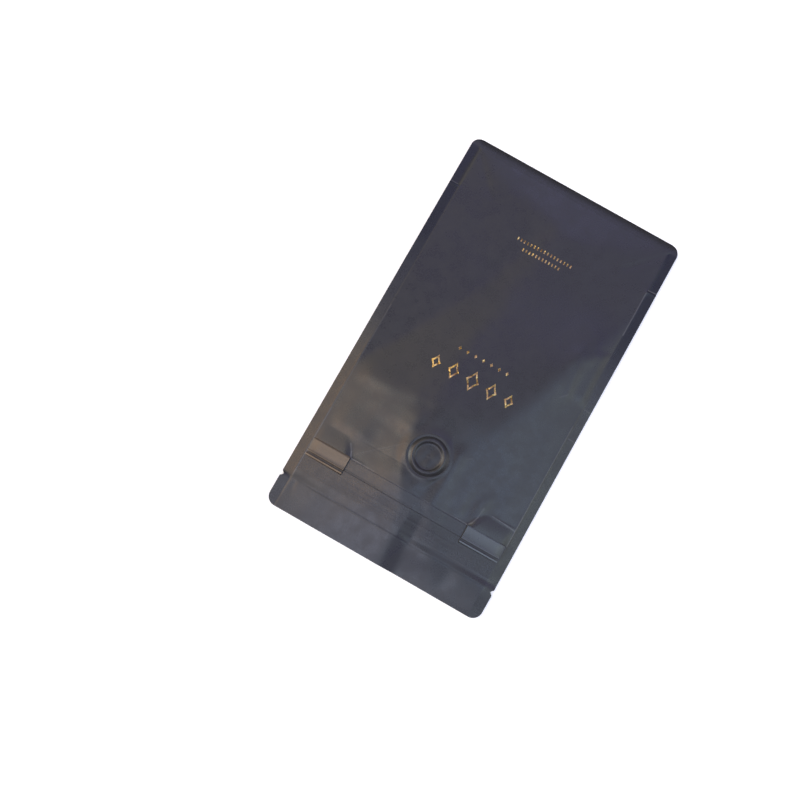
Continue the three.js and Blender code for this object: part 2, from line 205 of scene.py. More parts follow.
def lean(x):
    """The end blocks lean outwards a little more than the film beside them."""
    left = 0.030 * (np.clip(x, -64, -38) + 49) * (1 - smooth(-38, -30, x))
    return left - 0.028 * (np.clip(x, 38, 64) - 50) * smooth(31, 38, x)


def ramps(x, y):
    """The film rises to the lower edges of the zipper's two end blocks."""
    t = np.clip((y - 69.3) / 10.3, 0, 1)
    top = 1 - smooth(79.75, 80.3, y)
    # left: a dished ramp, nearly level across, with a sharp foot
    inner = TAB_LEFT - 0.3 - 0.55 * np.maximum(79.8 - y, 0)
    mask = smooth(-64.9, -60.2, x) * (1 - smooth(inner - 2.2, inner + 0.4, x))
    z = (1.1 * (1 - (1 - t) ** 1.5) + lean(x) * t) * mask
    z = z + 0.16 * bump(y, 68.9 - 0.004 * (x + 56) ** 2, 0.75) * between(x, -63.2, -48, 2.5)
    # right: lower and softer
    inner = TAB_RIGHT + 0.3 + 0.5 * np.maximum(79.8 - y, 0)
    mask = smooth(inner - 0.4, inner + 3.5, x) * (1 - smooth(60.2, 64.6, x))
    z = z + (0.58 * (1 - (1 - t) ** 1.2) + lean(x) * t) * mask
    return z * top


def puckers(x, y):
    """Small gathers in the film at the inner corners of the end blocks."""
    # left: a bent ridge running down from the corner, and a hollow beside it
    bend = -38.2 - 3.6 * (1 - np.exp(-np.maximum(79.9 - y, 0) / 4.5))
    down = np.exp(-np.maximum(79.9 - y, 0) / 8.0) * (1 - smooth(79.8, 80.6, y))
    z = 0.30 * down * bump(x, bend, 1.0)
    z = z - 0.36 * bump(x, -34.6, 3.2) * bump(y, 71.0, 7.5)
    # right: a broader one
    bend = 39.6 + 4.2 * (1 - np.exp(-np.maximum(79.7 - y, 0) / 5.0))
    down = np.exp(-np.maximum(79.7 - y, 0) / 5.5) * (1 - smooth(79.6, 80.4, y))
    z = z + 0.26 * down * bump(x, bend, 1.3)
    # the lower edge of the strip pulls the film up next to both
    z = z + 0.09 * bump(y, 79.5, 0.6) * (
        between(x, -37.5, -22, 3) + between(x, 31, 38.6, 2) + 0.35 * between(x, -22, 31, 6)
    )
    return z


def front(x, y):
    side = np.maximum(np.abs(x) - INNER_X, 0)
    foot = np.maximum(INNER_Y - y, 0)
    z = panel(np.clip(x, -INNER_X, INNER_X), np.maximum(y, INNER_Y))
    # the side fins droop by the mouth, and lie level or curl up a little lower down
    curl = np.where(
        x < 0,
        -0.19 + 0.17 * smooth(5, -62, y) + 0.05 * smooth(100, 112, y),
        -0.17 + 0.24 * smooth(45, -40, y) + 0.20 * smooth(104.5, 107, y),
    )
    droop = -0.05 * foot - 0.032 * foot**2
    z = z + curl * side + droop
    # the weld's inner line, drawn up
    line = np.where(
        x < 0,
        smooth(-75, 0, y) * (1 - smooth(84, 96, y)) + bump(y, -78, 11),
        smooth(-10, 45, y) * (1 - smooth(99, 104, y)),
    )
    z = z + (0.00 + 0.11 * line) * bump(np.abs(x), INNER_X + 0.1, 0.62) * (y > INNER_Y)
    # the bottom gusset's fins lie one film lower, under a small pucker at each step
    below = 1 - smooth(STEP_Y - 0.7, STEP_Y, y)
    edge = smooth(-0.2, 1.6, np.abs(x) - INNER_X + 1.2 * (x > 0)) * smooth(-0.5, 2.5, side - foot + 0.5)
    z = z - STEP_DROP * below * edge
    z = z + 0.10 * bump(y, STEP_Y + 0.6, 0.55) * smooth(INNER_X - 0.5, INNER_X + 0.5, np.abs(x))
    z = z + 0.26 * bump(x, -INNER_X + 0.2, 1.0) * bump(y, STEP_Y + 1.6, 2.2)
    z = z + 0.12 * bump(x, INNER_X - 0.6, 1.0) * bump(y, STEP_Y + 1.0, 1.6)
    z = z + ramps(x, y) + puckers(x, y)
    # above the zipper: a shallow fold on the left half, the tear line, the lip
    left = 1 - smooth(-34, 4, x)
    z = z + left * 0.78 * smooth(101.0, 106.2, y) * (1 - smooth(106.6, 123, y))
    z = z + left * 0.13 * bump(y, 101.0, 0.7)
    z = z + 0.16 * (1 - left) * smooth(102, 106.2, y) * (1 - smooth(106.6, 116, y)) * smooth(20, 62, x)
    z = z - 0.07 * bump(y, LIP_Y, 0.5) * (1 - smooth(50, 62, np.abs(x + 4)))
    z = z - 0.09 * bump(y, 93.8, 0.4) * between(x, -62, 34, 5)
    z = z - 0.06 * bump(y, 97.0, 0.4) * between(x, -40, 46, 8)
    z = z - 0.05 * bump(y, 98.6, 0.35) * between(x, -30, 50, 8)
    z = z - 0.03 * bump(y, 67.8, 0.4) * between(x, -36, 36, 6)
    # a fan-shaped dent beside the right seal on the lip
    fan = smooth(0, 1, 1 - np.abs((x - 60.5) + 0.1 * (y - 106)) / np.maximum(1.0 + 0.3 * (y - 106), 0.5))
    z = z - 0.12 * fan * smooth(105.8, 108, y) * (1 - smooth(109, 118, y))
    # a low rim where the film is drawn tight round the valve
    r = np.hypot(x - VALVE_X, y - VALVE_Y)
    z = z + 0.16 * bump(r, 12.9, 0.75)
    # handling marks: a few fine creases
    for mark in MARKS:
        z = z + crease(x, y, *mark)
    return z


# fine creases: from, to, height, width, fade
MARKS = (
    ((15, 56), (28, 67), 0.05, 0.5, 2.0),
    ((28, 67), (37.5, 76), 0.05, 0.5, 2.0),
    ((18.5, 80), (23, 70), 0.03, 0.5, 2.0),
    ((-66, -120), (-45, -96), -0.26, 1.7, 4.0),
    ((64, -118), (44, -96), -0.20, 1.7, 4.0),
    ((-52.5, -14.5), (-49, -11), 0.09, 0.6, 1.0),
    ((-22, 45.5), (-19, 47.5), 0.05, 0.5, 0.8),
    ((-69, 7.5), (-65.5, 7.5), 0.10, 0.4, 0.6),
    ((-69, -12), (-65.5, -12), 0.10, 0.4, 0.6),
    ((-12, -34), (-7, -28), 0.03, 0.5, 1.5),
    ((24, -24), (36, -31), 0.03, 0.6, 2.0),
    ((44, 22), (61, 18), -0.08, 2.4, 3.0),
    ((30, 22), (42, 18), -0.06, 3.0, 3.0),
)


def back(x, y):
    """The back panel lies flat, and bows up a little towards the mouth."""
    arch = MOUTH_ARCH * smooth(ARCH_Y, 125, y) * np.maximum(0, 1 - (x / 66) ** 2)
    return np.maximum(smin(arch, front(x, y) - 1.25, 0.3), 0.0)


# ---- the pouch's film --------------------------------------------------------
def lines(*spans):
    out = [spans[0][0]]
    for a, b, step in spans:
        n = max(1, round((b - a) / step))
        out += list(a + (b - a) * np.arange(1, n + 1) / n)
    return np.array(out)


FRONT_X = lines(
    (-70, -68.5, 0.5), (-68.5, -65, 1.0), (-65, -63, 0.25), (-63, -58, 1.3),
    (-58, -39.4, 1.4), (-39.4, -37.2, 0.4), (-37.2, -14, 1.4), (-14, 15.6, 0.7),
    (15.6, 38.2, 1.4), (38.2, 40.4, 0.4), (40.4, 58, 1.4), (58, 62.6, 1.3),
    (62.6, 65, 0.25), (65, 68.5, 1.0), (68.5, 70, 0.5),
)
FRONT_Y = lines(
    (-125, -123, 0.5), (-123, -120, 1.0), (-120, -118, 0.35), (-118, -112, 1.3),
    (-112, -94, 1.4), (-94, -91.4, 0.25), (-91.4, 42, 1.5), (42, 67.6, 0.7),
    (67.6, 70.4, 0.4), (70.4, 79, 0.8), (79, 80.6, 0.3), (80.6, 87, 1.2),
    (87, 91.6, 0.4), (91.6, 100.6, 0.6), (100.6, 104.6, 0.6), (104.6, 108.4, 0.25),
    (108.4, 112, 1.0), (112, 123, 1.3), (123, 125, 0.5),
)
BACK_X = lines(
    (-70, -68.5, 0.5), (-68.5, -65, 1.4), (-65, -63, 0.5), (-63, -58, 2.5),
    (-58, 58, 4.0), (58, 63, 2.5), (63, 65, 0.5), (65, 68.5, 1.4), (68.5, 70, 0.5),
)
BACK_Y = lines(
    (-125, -123, 0.5), (-123, -120, 1.5), (-120, -118, 0.5), (-118, -112, 2.0),
    (-112, 84, 4.0), (84, 104.6, 2.5), (104.6, 108.4, 0.35), (108.4, 112, 1.2),
    (112, 123, 2.2), (123, 125, 0.5),
)


def outline(x, y):
    """Bends square corner patches to quarter discs, and cuts the tear notches."""
    cx, cy = WIDTH / 2 - CORNER_R, LENGTH / 2 - CORNER_R
    u = np.clip((np.abs(x) - cx) / CORNER_R, 0, 1)
    v = np.clip((np.abs(y) - cy) / CORNER_R, 0, 1)
    corner = (u > 0) & (v > 0)
    X = np.where(corner, np.sign(x) * (cx + CORNER_R * u * np.sqrt(1 - v * v / 2)), x)
    Y = np.where(corner, np.sign(y) * (cy + CORNER_R * v * np.sqrt(1 - u * u / 2)), y)
    near = np.clip(1 - np.abs(y - NOTCH_Y) / NOTCH_HALF, 0, 1)
    cut = NOTCH_DEEP * near**0.75 * np.clip((np.abs(X) - 65.5) / 4.5, 0, 1)
    return X - np.sign(x) * cut, Y


def fold_depth(x, y):
    """0 at the outline, 1 at the bottom of the open fold between the fins."""
    dx = (WIDTH / 2 - np.abs(x)) / (WIDTH / 2 - FOLD_X)
    dy = np.where(
        y > 0,
        (LENGTH / 2 - y) / (LENGTH / 2 - FOLD_HIGH),
        (LENGTH / 2 + y) / (LENGTH / 2 + FOLD_LOW),
    )
    return np.clip(np.minimum(dx, dy), 0, 1)


def fold_faces(x, y, X, Y):
    high = front(X, Y) - PLY
    low = back(X, Y) + PLY
    shut = np.clip((fold_depth(x, y) - 0.45) / 0.55, 0, 1)
    middle = low + 0.45 * (np.minimum(high, low + 3) - low)
    return high + shut * (middle + 0.12 - high), low + shut * (middle - 0.12 - low)


class Mesh:
    def __init__(self):
        self.points, self.faces, self.count = [], [], 0

    def grid(self, X, Y, Z):
        """Adds points and gives their numbers, in the grid's shape."""
        n = X.size
        self.points.append(np.stack([X.ravel(), Y.ravel(), Z.ravel()], 1))
        ids = np.arange(self.count, self.count + n).reshape(X.shape)
        self.count += n
        return ids

    def quads(self, ids, keep=None, flip=False):
        a, b, c, d = ids[:-1, :-1], ids[1:, :-1], ids[1:, 1:], ids[:-1, 1:]
        q = np.stack([a, b, c, d], -1)
        q = q[keep] if keep is not None else q.reshape(-1, 4)
        self.faces += (q[:, ::-1] if flip else q).tolist()

    def wall(self, low, high):
        """Quads between two closed loops of equal length."""
        n = len(low)
        for k in range(n):
            m = (k + 1) % n
            self.faces.append([low[k], low[m], high[m], high[k]])

    def strip(self, low, high):
        """Triangles between two closed loops of different lengths."""
        P = np.concatenate(self.points)

        def run(loop):
            p = P[loop + [loop[0]], :2]
            s = np.r_[0, np.cumsum(np.hypot(*np.diff(p, axis=0).T))]
            return s / s[-1]

        s, t = run(low), run(high)
        i = j = 0
        while i < len(low) or j < len(high):
            li, hj = low[i % len(low)], high[j % len(high)]
            if j == len(high) or (i < len(low) and s[i + 1] <= t[j + 1]):
                self.faces.append([li, low[(i + 1) % len(low)], hj])
                i += 1
            else:
                self.faces.append([li, high[(j + 1) % len(high)], hj])
                j += 1

    def piece(self, name, sharp=40):
        # points that no face uses are dropped
        P = np.concatenate(self.points) * MM
        used = np.zeros(len(P), bool)
        for f in self.faces:
            used[f] = True
        new = np.cumsum(used) - 1
        faces = [[int(new[v]) for v in f] for f in self.faces]
        me = bpy.data.meshes.new(name)
        me.from_pydata(P[used].tolist(), [], faces)
        me.update()
        me.polygons.foreach_set("use_smooth", np.ones(len(me.polygons), bool))
        me.set_sharp_from_angle(angle=math.radians(sharp))
        ob = bpy.data.objects.new(name, me)
        bpy.context.scene.collection.objects.link(ob)
        return ob


def border(ids):
    """The grid's outer loop, anticlockwise from above."""
    return (
        ids[:-1, 0].tolist()
        + ids[-1, :-1].tolist()
        + ids[:0:-1, -1].tolist()
        + ids[0, :0:-1].tolist()
    )


def inner_border(ids, xs, ys):
    i0, i1 = np.argmin(np.abs(xs + FOLD_X)), np.argmin(np.abs(xs - FOLD_X))
    j0, j1 = np.argmin(np.abs(ys - FOLD_LOW)), np.argmin(np.abs(ys - FOLD_HIGH))
    return border(ids[i0 : i1 + 1, j0 : j1 + 1])


def outside(xs, ys):
    """Cells of the grid that lie in the open fold."""
    cx, cy = (xs[1:] + xs[:-1]) / 2, (ys[1:] + ys[:-1]) / 2
    CX, CY = np.meshgrid(cx, cy, indexing="ij")
    return (np.abs(CX) > FOLD_X) | (CY < FOLD_LOW) | (CY > FOLD_HIGH)


def make_pouch():
    m = Mesh()
    x, y = np.meshgrid(FRONT_X, FRONT_Y, indexing="ij")
    X, Y = outline(x, y)
    top = m.grid(X, Y, front(X, Y))
    m.quads(top)
    high, _ = fold_faces(x, y, X, Y)
    under = m.grid(X, Y, high)
    m.quads(under, outside(FRONT_X, FRONT_Y), flip=True)
    m.wall(border(under), border(top))
    xb, yb = np.meshgrid(BACK_X, BACK_Y, indexing="ij")
    XB, YB = outline(xb, yb)
    bottom = m.grid(XB, YB, back(XB, YB))
    m.quads(bottom, flip=True)
    _, low = fold_faces(xb, yb, XB, YB)
    over = m.grid(XB, YB, low)
    m.quads(over, outside(BACK_X, BACK_Y))
    m.wall(border(bottom), border(over))
    m.strip(inner_border(over, BACK_X, BACK_Y), inner_border(under, FRONT_X, FRONT_Y))
    return m.piece("pouch_film", 32)


# ---- the valve ---------------------------------------------------------------
def make_valve():
    m = Mesh()
    profile = [
        (0.4, 0.12), (1.5, 0.12), (3.0, 0.12), (4.5, 0.11), (6.0, 0.09), (7.0, 0.10),
        (7.4, 0.16), (7.8, 0.34), (8.2, 0.60), (8.6, 0.82), (9.0, 0.95), (9.4, 0.96),
        (9.8, 0.88), (10.2, 0.72), (10.6, 0.52), (11.0, 0.30), (11.4, 0.08),
        (11.7, -0.10), (12.0, -0.26), (12.05, -0.9),
    ]
    r = np.array([p[0] for p in profile])
    h = np.array([p[1] for p in profile])
    a = np.arange(120) * 2 * math.pi / 120
    R, A = np.meshgrid(r, a, indexing="ij")
    H = np.repeat(h[:, None], len(a), 1)
    X, Y = VALVE_X + R * np.cos(A), VALVE_Y + R * np.sin(A)
    soft = (R < 8.4) * (1 - (R / 8.4) ** 2)
    Z = VALVE_FACE + 0.01 * (X - VALVE_X) + H
    Z = Z + soft * ripple(X, Y, 21, 8.5, 0.10) + 0.02 * np.sin(3 * A + 1) * (R > 8)
    ids = m.grid(X, Y, Z)
    ring = np.concatenate([ids, ids[:, :1]], 1)
    m.quads(ring)
    top = m.grid(np.array([VALVE_X]), np.array([VALVE_Y]), np.array([VALVE_FACE + 0.12]))
    low = m.grid(np.array([VALVE_X]), np.array([VALVE_Y]), np.array([VALVE_FACE - 0.9]))
    n = len(a)
    for k in range(n):
        m.faces.append([int(top[0]), int(ids[0, k]), int(ids[0, (k + 1) % n])])
        m.faces.append([int(low[0]), int(ids[-1, (k + 1) % n]), int(ids[-1, k])])
    return m.piece("valve_ring", 50)


# ---- the zipper --------------------------------------------------------------
TAB_Y = [79.3, 79.75, 80.3, 84.0, 86.2, 86.6, 87.0, 87.6, 88.1, 88.6, 89.1, 89.6,
         90.1, 90.5, 90.8, 91.1]
TAB_Z = [0.75, 1.05, 1.26, 1.22, 1.12, 1.05, 1.08, 1.24, 1.00, 0.64, 0.70, 1.16,
         1.22, 1.06, 0.50, -0.40]
MID_Y = [79.9, 80.2, 80.5, 80.9, 86.6, 87.3, 87.75, 88.05, 88.3]
MID_Z = [-0.40, 0.00, 0.10, 0.11, 0.06, 0.15, 0.13, 0.00, -0.40]


def make_zip():
    m = Mesh()
    xs = lines(
        (-ZIP_X, -62.4, 0.2), (-62.4, -38.9, 1.6), (-38.9, -37.5, 0.14), (-37.5, 38.5, 1.6),
        (38.5, 39.9, 0.14), (39.9, 62.4, 1.6), (62.4, ZIP_X, 0.2),
    )
    ys = lines((79.3, 80.9, 0.1), (80.9, 86.0, 0.85), (86.0, 91.1, 0.15))
    x, y = np.meshgrid(xs, ys, indexing="ij")
    tab = (1 - smooth(-38.35, -37.9, x)) + smooth(38.9, 39.35, x)
    ends = np.clip((np.abs(x) - 59.2) / (ZIP_X - 59.2), 0, 1) ** 1.6
    zt = np.interp(y, TAB_Y, TAB_Z)
    zt = zt * (1 - 0.62 * ends)
    zm = np.interp(y, MID_Y, MID_Z)
    base = panel(x, y)
    Z = base + tab * (zt + lean(x)) + (1 - tab) * zm
    top = m.grid(x, y, Z)
    m.quads(top)
    under = m.grid(x, y, base - 0.75)
    m.quads(under, flip=True)
    m.wall(border(under), border(top))
    return m.piece("zip_strip", 50)


# ---- gold foil ---------------------------------------------------------------
def film_height(x, y):
    """Height of the film's mesh at any point, between its grid lines."""
    i = np.clip(np.searchsorted(FRONT_X, x) - 1, 0, len(FRONT_X) - 2)
    j = np.clip(np.searchsorted(FRONT_Y, y) - 1, 0, len(FRONT_Y) - 2)
    x0, x1, y0, y1 = FRONT_X[i], FRONT_X[i + 1], FRONT_Y[j], FRONT_Y[j + 1]
    u, v = (x - x0) / (x1 - x0), (y - y0) / (y1 - y0)
    return (
        front(x0, y0) * (1 - u) * (1 - v)
        + front(x1, y0) * u * (1 - v)
        + front(x0, y1) * (1 - u) * v
        + front(x1, y1) * u * v
    )


def foil(m, outer, inner=None, thick=0.035):
    """A thin flat piece on the film, solid or with a hole, from outline points."""
    n = len(outer)
    if inner is None:
        c = outer.mean(0)
        inner = outer * 0 + c
        rings = [outer * t + c * (1 - t) for t in (1.0, 0.5, 0.02)]
    else:
        rings = [outer * t + inner * (1 - t) for t in (1.0, 0.5, 0.0)]
    tops = [m.grid(r[:, 0], r[:, 1], film_height(r[:, 0], r[:, 1]) + thick) for r in rings]
    lows = [m.grid(r[:, 0], r[:, 1], film_height(r[:, 0], r[:, 1]) - 0.08) for r in rings]
    for k in range(n):
        q = (k + 1) % n
        for s in range(2):
            m.faces.append([int(tops[s][k]), int(tops[s][q]), int(tops[s + 1][q]), int(tops[s + 1][k])])
            m.faces.append([int(lows[s][q]), int(lows[s][k]), int(lows[s + 1][k]), int(lows[s + 1][q])])
        m.faces.append([int(lows[0][k]), int(lows[0][q]), int(tops[0][q]), int(tops[0][k])])
        m.faces.append([int(lows[2][q]), int(lows[2][k]), int(tops[2][k]), int(tops[2][q])])


def lozenge(cx, cy, w, h, per=6):
    pts = []
    corners = [(w / 2, 0), (0, h / 2), (-w / 2, 0), (0, -h / 2)]
    for k in range(4):
        (ax, ay), (bx, by) = corners[k], corners[(k + 1) % 4]
        for t in np.arange(per) / per:
            # the sides bow inwards a little
            f = 1 - 0.10 * math.sin(math.pi * t)
            pts.append((cx + (ax + (bx - ax) * t) * f, cy + (ay + (by - ay) * t) * f))
    return np.array(pts)


def bar(cx, cy, w, h):
    return np.array(
        [(cx + w / 2, cy - h / 2), (cx + w / 2, cy + h / 2), (cx - w / 2, cy + h / 2), (cx - w / 2, cy - h / 2)]
    )


def make_foil():
    big = Mesh()
    for cx, w, h in ((-24, 6.0, 9.0), (-12.5, 7.0, 11.0), (0, 8.4, 13.0), (12.5, 7.0, 11.0), (24, 6.0, 9.0)):
        foil(big, lozenge(cx, 6.5, w, h), lozenge(cx, 6.5, w - 2.6, h - 3.6))
    small = Mesh()
    for k in range(7):
        foil(small, lozenge((k - 3) * 5.2, -7.2, 1.9, 2.7))
    fine = Mesh()
    for k in range(12):
        foil(fine, bar((k - 5.5) * 2.15, -77.6, 0.75, 1.9))
    for k in range(17):
        foil(fine, bar((k - 8) * 2.2, -82.2, 0.78, 1.9))
    return [
        big.piece("foil_lozenges", 30),
        small.piece("foil_row", 30),
        fine.piece("foil_ticks", 30),
    ]


# ---- materials ---------------------------------------------------------------
def new_material(name):
    mat = bpy.data.materials.new(name)
    mat.use_nodes = True
    nt = mat.node_tree
    nt.nodes.clear()
    out = nt.nodes.new("ShaderNodeOutputMaterial")
    bsdf = nt.nodes.new("ShaderNodeBsdfPrincipled")
    nt.links.new(bsdf.outputs[0], out.inputs[0])
    return mat, nt, bsdf


def node(nt, kind, **settings):
    n = nt.nodes.new(kind)
    for k, v in settings.items():
        if k.startswith("in_"):
            n.inputs[k[3:].replace("_", " ")].default_value = v
        else:
            setattr(n, k, v)
    return n


def math_node(nt, op, a, b=None, c=None):
    n = nt.nodes.new("ShaderNodeMath")
    n.operation = op
    for i, v in enumerate((a, b, c)):
        if v is None:
            continue
        if isinstance(v, (int, float)):
            n.inputs[i].default_value = v
        else:
            nt.links.new(v, n.inputs[i])
    return n.outputs[0]


def map_range(nt, value, a, b, c, d, kind="SMOOTHSTEP"):
    n = nt.nodes.new("ShaderNodeMapRange")
    n.interpolation_type = kind
    nt.links.new(value, n.inputs["Value"])
    for k, v in zip(("From Min", "From Max", "To Min", "To Max"), (a, b, c, d)):
        n.inputs[k].default_value = v
    return n.outputs[0]


# painted highlights: pale lines painted along creases, welds, steps and puckers, where their ridges and edges
# catch the light:
# from, to, half width, strength
HIGHLIGHT_LINES = (
    ((-63.6, 69.6), (-56.0, 68.9), 0.16, 0.42),
    ((-56.0, 68.9), (-48.5, 68.5), 0.12, 0.34),
    ((-38.3, 79.3), (-39.8, 77.4), 0.26, 0.50),
    ((-39.8, 77.4), (-41.2, 73.0), 0.22, 0.34),
    ((-41.2, 73.0), (-41.8, 67.0), 0.20, 0.16),
    ((39.3, 79.2), (40.6, 76.2), 0.30, 0.60),
    ((40.6, 76.2), (43.2, 72.4), 0.24, 0.36),
    ((-64.1, 79.5), (-64.1, 60.0), 0.14, 0.34),
    ((-64.1, 60.0), (-64.1, 0.0), 0.14, 0.20),
    ((-64.1, -62.0), (-64.1, -91.0), 0.16, 0.34),
    ((63.5, 104.5), (63.5, 60.0), 0.16, 0.34),
    ((63.5, 60.0), (63.5, -10.0), 0.14, 0.16),
    ((-37.4, 79.6), (-30.0, 79.6), 0.10, 0.28),
    ((-30.0, 79.6), (-22.0, 79.6), 0.08, 0.14),
    ((24.0, 79.6), (32.0, 79.6), 0.08, 0.16),
    ((32.0, 79.6), (38.6, 79.6), 0.10, 0.34),
    ((-67.0, 101.2), (-24.0, 101.0), 0.10, 0.10),
    ((-69.6, -93.5), (-64.6, -93.0), 0.16, 0.50),
    ((65.0, -93.2), (69.6, -93.2), 0.14, 0.35),
    ((15.0, 56.0), (37.5, 76.0), 0.10, 0.08),
    ((-52.5, -14.5), (-49.0, -11.0), 0.16, 0.16),
    ((-22.0, 45.5), (-19.2, 47.4), 0.12, 0.12),
    ((-69.0, 7.5), (-65.5, 7.5), 0.14, 0.25),
    ((-69.0, -12.0), (-65.5, -12.0), 0.14, 0.25),
)


def stroke(nt, X, Y, p, q, half, strength):
    """1 to 0 away from the line from p to q, in millimetres, times a strength."""
    (px, py), (qx, qy) = p, q
    length = math.hypot(qx - px, qy - py)
    ux, uy = (qx - px) / length, (qy - py) / length
    x = math_node(nt, "SUBTRACT", X, px * MM)
    y = math_node(nt, "SUBTRACT", Y, py * MM)
    run = math_node(nt, "MULTIPLY_ADD", x, ux, math_node(nt, "MULTIPLY", y, uy))
    off = math_node(nt, "MULTIPLY_ADD", x, -uy, math_node(nt, "MULTIPLY", y, ux))
    past = math_node(nt, "ABSOLUTE", math_node(nt, "SUBTRACT", run, length / 2 * MM))
    past = math_node(nt, "MAXIMUM", math_node(nt, "SUBTRACT", past, length / 2 * MM), 0.0)
    far = math_node(nt, "SQRT", math_node(nt, "MULTIPLY_ADD", past, past, math_node(nt, "MULTIPLY", off, off)))
    return map_range(nt, far, half * 0.3 * MM, (half + 0.42) * MM, strength, 0.0)


def film_material(name="film", tint=(0.0235, 0.0230, 0.0225), rough=0.30):
    mat, nt, bsdf = new_material(name)
    tc = nt.nodes.new("ShaderNodeTexCoord")
    pos = tc.outputs["Object"]
    sep = nt.nodes.new("ShaderNodeSeparateXYZ")
    nt.links.new(pos, sep.inputs[0])
    X, Y = sep.outputs[0], sep.outputs[1]

    def noise(scale, detail=3.0, rough_=0.55):
        n = node(nt, "ShaderNodeTexNoise", in_Scale=scale, in_Detail=detail, in_Roughness=rough_)
        nt.links.new(pos, n.inputs["Vector"])
        return n.outputs["Fac"]

    cloud = noise(38.0, 4.0, 0.6)
    grain = noise(900.0, 1.0, 0.4)
    scuff = noise(160.0, 2.0, 0.4)
    # colour: even charcoal with a little cloudiness
    ramp = nt.nodes.new("ShaderNodeValToRGB")
    ramp.color_ramp.elements[0].position = 0.30
    ramp.color_ramp.elements[1].position = 0.72
    ramp.color_ramp.elements[0].color = (*[c * 0.93 for c in tint], 1)
    ramp.color_ramp.elements[1].color = (*[c * 1.07 for c in tint], 1)
    nt.links.new(cloud, ramp.inputs[0])
    # the side fins lower down are painted darker: painted shade
    aside = map_range(nt, math_node(nt, "ABSOLUTE", X), 0.0636, 0.0650, 0.0, 1.0)
    low = map_range(nt, Y, -0.024, -0.066, 0.0, 1.0)
    foot = map_range(nt, Y, -0.1185, -0.1205, 1.0, 0.0)
    painted_shade = math_node(nt, "MULTIPLY", math_node(nt, "MULTIPLY", aside, low), foot)
    # a dark line painted in the tear line's groove: painted shade
    tear_line_shade = math_node(nt, "ABSOLUTE", math_node(nt, "SUBTRACT", Y, 0.10595))
    tear_line_shade = map_range(nt, tear_line_shade, 0.0001, 0.0005, 0.35, 0.0)
    tear_line_shade = math_node(nt, "MULTIPLY", tear_line_shade, map_range(nt, math_node(nt, "ABSOLUTE", X), 0.058, 0.064, 1, 0))
    painted_shade = math_node(nt, "MAXIMUM", math_node(nt, "MULTIPLY", painted_shade, 0.92), tear_line_shade)
    # painted shade: the film's colour is mixed towards near black on the lower side fins and along the tear line
    mix = nt.nodes.new("ShaderNodeMix")
    mix.data_type = "RGBA"
    nt.links.new(painted_shade, mix.inputs["Factor"])
    nt.links.new(ramp.outputs[0], mix.inputs["A"])
    mix.inputs["B"].default_value = (0.003, 0.003, 0.004, 1)
    # painted highlight: the film's colour lifted to pale grey along these lines
    highlight_mask = None
    for line in HIGHLIGHT_LINES:
        m = stroke(nt, X, Y, *line)
        highlight_mask = m if highlight_mask is None else math_node(nt, "MAXIMUM", highlight_mask, m)
    high = nt.nodes.new("ShaderNodeMix")
    high.data_type = "RGBA"
    nt.links.new(highlight_mask, high.inputs["Factor"])
    nt.links.new(mix.outputs["Result"], high.inputs["A"])
    high.inputs["B"].default_value = (0.16, 0.16, 0.165, 1)
    nt.links.new(high.outputs["Result"], bsdf.inputs["Base Color"])
    # roughness: matte, a little uneven where it has been handled
    r = map_range(nt, scuff, 0.3, 0.7, rough - 0.035, rough + 0.035)
    r = math_node(nt, "ADD", r, map_range(nt, grain, 0.3, 0.7, -0.02, 0.02))
    nt.links.new(r, bsdf.inputs["Roughness"])
    bsdf.inputs["IOR"].default_value = 1.5
    # relief: fine grain everywhere, ribs on the side welds, a net on the pressed bands
    edge = map_range(nt, math_node(nt, "ABSOLUTE", X), 0.0642, 0.0648, 0.0, 1.0)
    ribs = math_node(nt, "SINE", math_node(nt, "MULTIPLY", Y, 2 * math.pi / 0.00072))
    ribs = math_node(nt, "MULTIPLY", ribs, edge)
    net_a = math_node(nt, "SINE", math_node(nt, "MULTIPLY", math_node(nt, "ADD", X, Y), 2 * math.pi / 0.0014))
    net_b = math_node(nt, "SINE", math_node(nt, "MULTIPLY", math_node(nt, "SUBTRACT", X, Y), 2 * math.pi / 0.0014))
    net = math_node(nt, "MULTIPLY", net_a, net_b)
    in_zip = math_node(
        nt, "MULTIPLY", map_range(nt, Y, 0.0795, 0.0815, 0, 1), map_range(nt, Y, 0.0995, 0.1015, 1, 0)
    )
    in_low = map_range(nt, Y, -0.119, -0.1175, 1, 0)
    nets = math_node(nt, "MAXIMUM", in_zip, in_low)
    inner = math_node(nt, "SUBTRACT", 1.0, edge)
    net = math_node(nt, "MULTIPLY", math_node(nt, "MULTIPLY", net, nets), inner)
    h = math_node(nt, "MULTIPLY", ribs, 0.0000105)
    h = math_node(nt, "ADD", h, math_node(nt, "MULTIPLY", net, 0.000019))
    h = math_node(nt, "ADD", h, math_node(nt, "MULTIPLY", grain, 0.0000018))
    h = math_node(nt, "ADD", h, math_node(nt, "MULTIPLY", scuff, 0.000006))
    bmp = node(nt, "ShaderNodeBump", in_Strength=1.0, in_Distance=1.0)
    nt.links.new(h, bmp.inputs["Height"])
    nt.links.new(bmp.outputs[0], bsdf.inputs["Normal"])
    return mat


